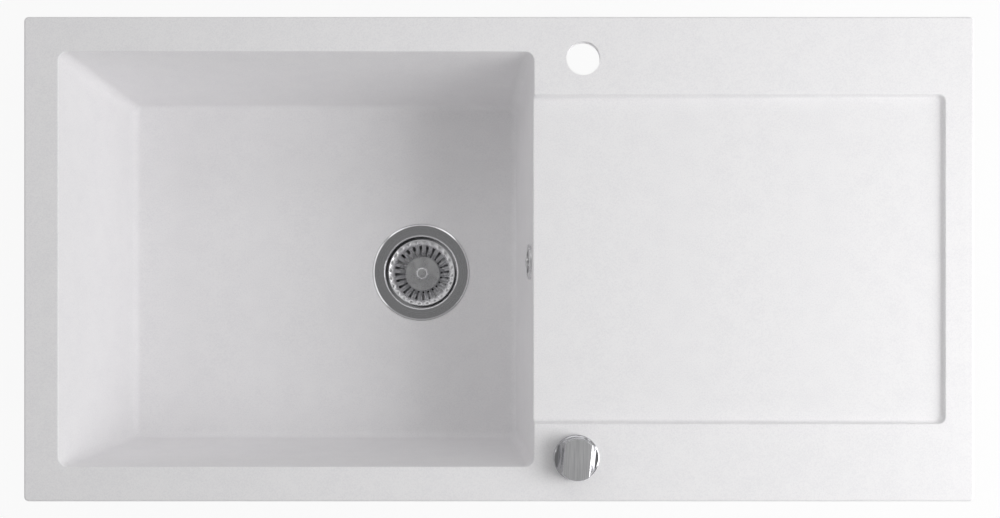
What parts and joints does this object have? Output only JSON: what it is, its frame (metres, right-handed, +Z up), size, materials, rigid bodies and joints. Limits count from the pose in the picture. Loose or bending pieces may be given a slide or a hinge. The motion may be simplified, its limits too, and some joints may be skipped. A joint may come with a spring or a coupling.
{
  "type": "inset granite kitchen sink",
  "caption": "Inset granite kitchen sink with a deep square bowl, a sunk drainer, a tap hole, a basket waste, an overflow and a turning knob that raises the basket.",
  "frame": {"origin": "the middle of the sink's outline, on the worktop plane, which is the underside of the rim", "axes": "+X along the sink from the bowl to the drainer, +Y from the knob's edge to the tap hole's edge, +Z up"},
  "size_m": [0.98, 0.5, 0.3483],
  "materials": {
    "granite": "matt, fine-grained, white",
    "steel": "satin",
    "rubber": "matt black",
    "foam": "matt, open-pored",
    "grey_plastic": "light grey",
    "black_plastic": "black",
    "white_plastic": "white"
  },
  "bodies": {
    "sink": {"sink_basin": "granite", "rim_seal": "foam", "strainer_flange": "steel", "flange_gasket": "rubber", "waste_body": "grey_plastic", "body_gasket": "rubber", "flange_screws": "steel", "pin_seal": "rubber", "waste_cable_gland": "black_plastic", "overflow_rosette": "steel", "overflow_gasket": "rubber", "overflow_head": "grey_plastic", "overflow_screw": "steel", "overflow_pipe": "grey_plastic", "pipe_bands": "steel", "cover_ring": "steel", "ring_seal": "rubber", "knob_housing": "black_plastic", "spindle_seal": "rubber", "deck_washer": "black_plastic", "back_nut": "black_plastic", "drive_box": "black_plastic", "box_cover": "black_plastic", "box_screws": "steel", "knob_cable_gland": "black_plastic"},
    "knob": {"knob_spindle": "white_plastic", "knob_grip": "steel", "grub_screw": "steel"},
    "slider": {"cable_slider": "white_plastic"},
    "lift": {"lift_pin": "steel"},
    "basket": {"strainer_basket": "steel", "basket_button": "steel", "basket_plug": "black_plastic", "plug_seal": "rubber"}
  },
  "joints": [
    {"name": "knob_turn", "type": "hinge", "parent": "sink", "child": "knob", "pos_m": [0.0795, -0.2045, 0.009], "axis": [0, 0, 1], "range_deg": [0, 90]},
    {"name": "slider_push", "type": "slide", "parent": "sink", "child": "slider", "axis": [0, 1, 0], "range_m": [0, 0.012]},
    {"name": "lift_rise", "type": "slide", "parent": "sink", "child": "lift", "axis": [0, 0, 1], "range_m": [0, 0.012]},
    {"name": "basket_lift_out", "type": "slide", "parent": "lift", "child": "basket", "axis": [0, 0, 1], "range_m": [0, 0.08]}
  ],
  "couplings": [
    {"joint": "slider_push", "follows": "knob_turn", "m_per_rad": 0.0076394},
    {"joint": "lift_rise", "follows": "knob_turn", "m_per_rad": 0.0076394}
  ]
}
